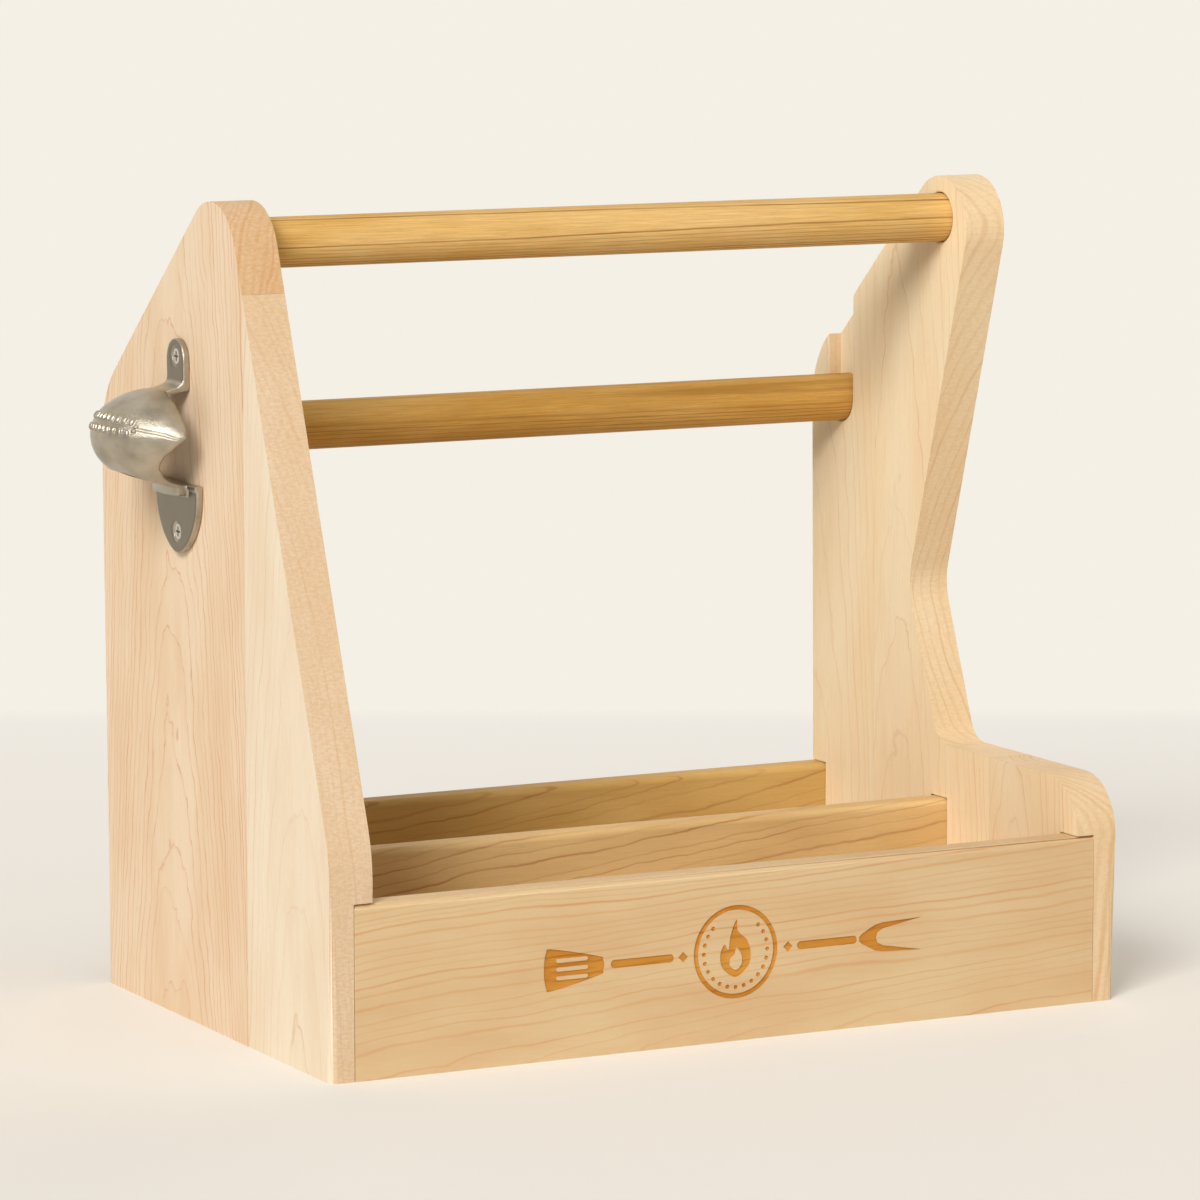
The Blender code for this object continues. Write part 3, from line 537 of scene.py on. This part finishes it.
# Front board, with a shallow ornament burnt into its face: a flame in a ring between a turner
# and a fork. Outlines in mm from the ornament's middle

ORNAMENT_DEPTH = 0.0005
ORNAMENT_RISE = 0.0375


def ring_outline(radius, count=72, middle=(0, 0)):
    return [(middle[0] + radius * math.cos(2 * math.pi * k / count),
             middle[1] + radius * math.sin(2 * math.pi * k / count)) for k in range(count)]


def smooth_outline(corners, steps=8):
    """Closed curve through the corners."""
    points = []
    count = len(corners)
    for k in range(count):
        p0, p1, p2, p3 = (Vector(corners[(k + j) % count]) for j in (-1, 0, 1, 2))
        for step in range(steps):
            t = step / steps
            bend = 2 * p0 - 5 * p1 + 4 * p2 - p3
            twist = 3 * p1 - p0 - 3 * p2 + p3
            points.append(tuple(0.5 * (2 * p1 + (p2 - p0) * t + bend * t * t + twist * t ** 3)))
    return points


def bar_outline(x0, x1, z0, z1, radius, steps=6):
    """Rectangle with rounded corners."""
    points = []
    for cx, cz, start in ((x1 - radius, z1 - radius, 0), (x0 + radius, z1 - radius, 90),
                          (x0 + radius, z0 + radius, 180), (x1 - radius, z0 + radius, 270)):
        for k in range(steps + 1):
            angle = math.radians(start + 90 * k / steps)
            points.append((cx + radius * math.cos(angle), cz + radius * math.sin(angle)))
    return points


def mirrored(outline):
    """The outline's mirror image, on the ornament's other side."""
    return [(-x, z) for x, z in outline]


RING_RADII = (19.6, 17.6)
BEAD_RADIUS = 0.9
BEAD_CIRCLE = 14.9
BEAD_STEPS = 24
BEADS_UNDER_FLAME_TIP = range(4, 9)
FLAME = smooth_outline([(0.5, 13.5), (1.2, 8.5), (5.2, 4.6), (7.0, -0.6), (5.9, -6.4),
                        (0.0, -10.6), (-6.0, -6.6), (-7.2, -0.8), (-5.2, 3.4), (-3.4, 0.8),
                        (-2.8, 5.2), (-1.6, 9.6)])
FLAME_HEART = smooth_outline([(0.4, 1.8), (2.8, -1.8), (2.6, -5.6), (0, -7.6), (-2.7, -5.6),
                              (-2.4, -2.4), (-0.6, -1.0)])
TURNER_SHAFT = bar_outline(-58.0, -29.0, -1.7, 1.7, 1.6)
TURNER_BLADE = smooth_outline([(-63.5, -4.0), (-84.5, -8.6), (-87.6, -7.4), (-88.6, 0),
                               (-87.6, 7.4), (-84.5, 8.6), (-63.5, 4.0), (-61.6, 2.2),
                               (-61.0, 0.0), (-61.6, -2.2)], 6)
TURNER_SLOTS = [bar_outline(-83.0, -68.5, z - 0.85, z + 0.85, 0.8) for z in (-3.6, 0.0, 3.6)]
FORK_SHAFT = mirrored(bar_outline(-57.4, -29.0, -1.7, 1.7, 1.6))
FORK_TINES = [(60.0, 2.2), (66.0, 5.4), (70.0, 6.2), (88.5, 6.9), (70.0, 3.6), (67.4, 2.2),
              (66.6, 0), (67.4, -2.2), (70.0, -3.6), (88.5, -6.9), (70.0, -6.2), (66.0, -5.4),
              (60.0, -2.2), (58.6, -1.0), (58.6, 1.0)]
DIAMONDS = [[(x - 2.2, 0), (x, -2.2), (x + 2.2, 0), (x, 2.2)] for x in (-24.6, 24.6)]


def ornament():
    """Outlines of all the ornament; one inside another is left standing."""
    outlines = [ring_outline(radius) for radius in RING_RADII] + [FLAME, FLAME_HEART]
    for k in range(BEAD_STEPS):
        if k not in BEADS_UNDER_FLAME_TIP:
            turn = 2 * math.pi * k / BEAD_STEPS
            middle = (BEAD_CIRCLE * math.cos(turn), BEAD_CIRCLE * math.sin(turn))
            outlines.append(ring_outline(BEAD_RADIUS, 16, middle))
    return outlines + [TURNER_SHAFT, TURNER_BLADE, *TURNER_SLOTS, FORK_SHAFT, FORK_TINES, *DIAMONDS]


def ornament_cutter(place):
    """Solid that cuts the ornament into the board, its middle at place."""
    curve = bpy.data.curves.new("ornament", "CURVE")
    curve.dimensions = "2D"
    curve.fill_mode = "BOTH"
    curve.extrude = ORNAMENT_DEPTH
    for outline in ornament():
        spline = curve.splines.new("POLY")
        spline.points.add(len(outline) - 1)
        for point, (x, z) in zip(spline.points, outline):
            point.co = (x * MM, z * MM, 0, 1)
        spline.use_cyclic_u = True
    made = bpy.data.objects.new("ornament", curve)
    scene.collection.objects.link(made)
    bpy.context.view_layer.update()
    graph = bpy.context.evaluated_depsgraph_get()
    mesh = bpy.data.meshes.new_from_object(made.evaluated_get(graph))
    bpy.data.objects.remove(made)
    bm = bmesh.new()
    bm.from_mesh(mesh)
    bmesh.ops.remove_doubles(bm, verts=bm.verts, dist=1e-6)
    upright = Matrix.Rotation(math.pi / 2, 3, "X")
    bmesh.ops.rotate(bm, verts=bm.verts, cent=(0, 0, 0), matrix=upright)
    bmesh.ops.translate(bm, verts=bm.verts, vec=place)
    bmesh.ops.recalc_face_normals(bm, faces=bm.faces)
    bm.to_mesh(mesh)
    bm.free()
    tool = bpy.data.objects.new("ornament_cutter", mesh)
    scene.collection.objects.link(tool)
    return tool


def engraved_board():
    low, high = (Vector(corner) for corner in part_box("front_board"))
    piece = copy_of("front_board", "front_board_engraved")
    tool = ornament_cutter(Vector(((low.x + high.x) / 2, low.y, ORNAMENT_RISE)))
    facts = {**BOARDS["front_board"], "light": BURNT, "deep": BURNT_DEEP, "line": BURNT_LINE}
    burnt = wood("front_board_burnt", "X", "Y", **facts)
    tool.data.materials.append(burnt)
    change = piece.modifiers.new("ornament", "BOOLEAN")
    change.operation = "DIFFERENCE"
    change.object = tool
    change.solver = "EXACT"
    change.material_mode = "TRANSFER"
    mesh = applied(piece)
    bpy.data.objects.remove(tool)
    mesh.shade_smooth()
    mesh.set_sharp_from_angle(angle=math.radians(40))
    flat_faces(piece)
    stand_for(piece, "front_board")


engraved_board()


# Camera, at the photograph's place

CAMERA_PLACE = (-1.11242, -2.20730, 0.50843)
CAMERA_YAW = -27.082
CAMERA_PITCH = 90 - 7.767
CAMERA_ROLL = -0.045
CAMERA_LENS = 175.67

camera = bpy.data.objects.new("camera", bpy.data.cameras.new("camera"))
scene.collection.objects.link(camera)
turn = (Matrix.Rotation(math.radians(CAMERA_YAW), 4, "Z")
        @ Matrix.Rotation(math.radians(CAMERA_PITCH), 4, "X")
        @ Matrix.Rotation(math.radians(CAMERA_ROLL), 4, "Z"))
camera.matrix_world = Matrix.Translation(CAMERA_PLACE) @ turn
camera.data.lens = CAMERA_LENS
camera.data.sensor_width = 36.0
camera.data.clip_end = 50.0
scene.camera = camera


# Floor, whose far edge melts into the pale backdrop of the world

TABLE_END = 3.27
EDGE_BLEND = 0.055
OWN_LIGHT_REACH = 1.0
ROOM = 12.0
WALL = rgb(245, 240, 229)
FLOOR = rgb(243, 238, 230)
FLOOR_DEEP = tuple(0.9 * part for part in FLOOR[:3]) + (1,)
FLOOR_MOTTLE = 0.05


def floor():
    """Table top whose own Y runs away from the camera and is zero at its far edge."""
    mesh = bpy.data.meshes.new("table_top")
    mesh.from_pydata([(-ROOM, -ROOM, 0), (ROOM, -ROOM, 0), (ROOM, 0, 0), (-ROOM, 0, 0)], [],
                     [(0, 1, 2, 3)])
    top = bpy.data.objects.new("table_top", mesh)
    scene.collection.objects.link(top)
    yaw = Matrix.Rotation(math.radians(CAMERA_YAW), 4, "Z")
    foot = Matrix.Translation((CAMERA_PLACE[0], CAMERA_PLACE[1], 0))
    top.matrix_world = foot @ yaw @ Matrix.Translation((0, TABLE_END, 0))

    look = bpy.data.materials.new("table_paint")
    look.use_nodes = True
    t = Tree(look.node_tree)
    place = t.node("ShaderNodeTexCoord").outputs["Object"]
    grain = t.noise(place, scale=40.0, detail=3.0)
    tone = t.mix(t.math("MULTIPLY", grain, FLOOR_MOTTLE), FLOOR, FLOOR_DEEP)
    away = t.node("ShaderNodeSeparateXYZ", (), _0=place).outputs[1]
    edge = t.ramp(t.math("MULTIPLY_ADD", away, 1 / EDGE_BLEND, 1.0),
                  ((0.0, 0.0), (0.5, 0.35), (1.0, 1.0)))
    shown = t.mix(edge, tone, WALL)
    matt = t.node("ShaderNodeBsdfDiffuse", (), Color=tone)
    glow = t.node("ShaderNodeEmission", (), Color=shown)
    own = t.ramp(t.math("MULTIPLY_ADD", away, 1 / OWN_LIGHT_REACH, 1.0),
                 ((0.0, 0.10), (0.22, 0.20), (0.6, 0.58),
                  (1 - EDGE_BLEND / OWN_LIGHT_REACH, 0.80), (1.0, 1.0)))
    share = t.math("MULTIPLY", background_rays(t), own)
    mixed = t.node("ShaderNodeMixShader", (), _0=share, _1=matt.outputs[0], _2=glow.outputs[0])
    t.node("ShaderNodeOutputMaterial", (), Surface=mixed.outputs[0])
    mesh.materials.append(look)


def background_rays(t):
    """1 for the rays that see the background: the camera's, and those of metal and glass."""
    path = t.node("ShaderNodeLightPath").outputs
    seen = t.math("MAXIMUM", path["Is Camera Ray"], path["Is Glossy Ray"])
    return t.math("MAXIMUM", seen, path["Is Transmission Ray"])


floor()


# Light

CENTRE = Vector((0, 0, 0.17))
WHITE_LIGHT = (1.0, 0.99, 0.97)
WARM_LIGHT = (1.0, 0.92, 0.79)

# Name, azimuth and elevation in degrees, distance and size in m, power in W, colour
LAMPS = (
    ("key", -138, 34, 12.0, (4.4, 5.2), 1260, WHITE_LIGHT),
    ("left_fill", -160, 38, 10.0, (5.5, 5.0), 60, WHITE_LIGHT),
    ("top", -60, 72, 2.6, (1.2, 1.2), 8, WHITE_LIGHT),
    ("back_fill", 50, 34, 12.0, (6.0, 6.0), 185, WARM_LIGHT),
    ("front_fill", -100, 25, 4.4, (2.4, 1.8), 12, WHITE_LIGHT),
)


def softbox(name, azimuth, elevation, distance, size, power, colour):
    """Softbox that faces the caddy from a direction, azimuth from +X towards +Y."""
    data = bpy.data.lights.new(name, "AREA")
    data.shape = "RECTANGLE"
    data.size, data.size_y = size
    data.energy = power
    data.color = colour
    lamp = bpy.data.objects.new(name, data)
    scene.collection.objects.link(lamp)
    turn, rise = math.radians(azimuth), math.radians(elevation)
    away = Vector((math.cos(rise) * math.cos(turn), math.cos(rise) * math.sin(turn),
                   math.sin(rise)))
    lamp.location = CENTRE + away * distance
    lamp.rotation_euler = (CENTRE - lamp.location).to_track_quat("-Z", "Y").to_euler()


for lamp in LAMPS:
    softbox(*lamp)

DOME_TINT = (1.0, 0.94, 0.84, 1)
world = bpy.data.worlds.new("studio")
world.use_nodes = True
scene.world = world
w = Tree(world.node_tree)
direction = w.node("ShaderNodeTexCoord").outputs["Generated"]
height = w.node("ShaderNodeSeparateXYZ", (), _0=direction).outputs[2]
dome = w.ramp(w.math("MULTIPLY_ADD", height, 0.5, 0.5), ((0.35, 0.10), (0.55, 0.13), (1.0, 0.25)))
dome = w.mix(1.0, dome, DOME_TINT, blend="MULTIPLY")
yaw = math.radians(-CAMERA_YAW)
across = w.node("ShaderNodeVectorMath", {"operation": "DOT_PRODUCT"}, _0=direction,
                _1=(math.sin(yaw), math.cos(yaw), 0)).outputs[1]
behind = w.ramp(w.math("MULTIPLY_ADD", across, 0.5, 0.5), ((0.30, 0.0), (0.62, 1.0)))
camera_ray = w.node("ShaderNodeLightPath").outputs["Is Camera Ray"]
seen = w.math("MAXIMUM", camera_ray, w.math("MULTIPLY", background_rays(w), behind))
shown = w.mix(seen, dome, WALL)
background = w.node("ShaderNodeBackground", (), Color=shown)
w.node("ShaderNodeOutputWorld", (), Surface=background.outputs[0])

scene.view_settings.view_transform = "Standard"
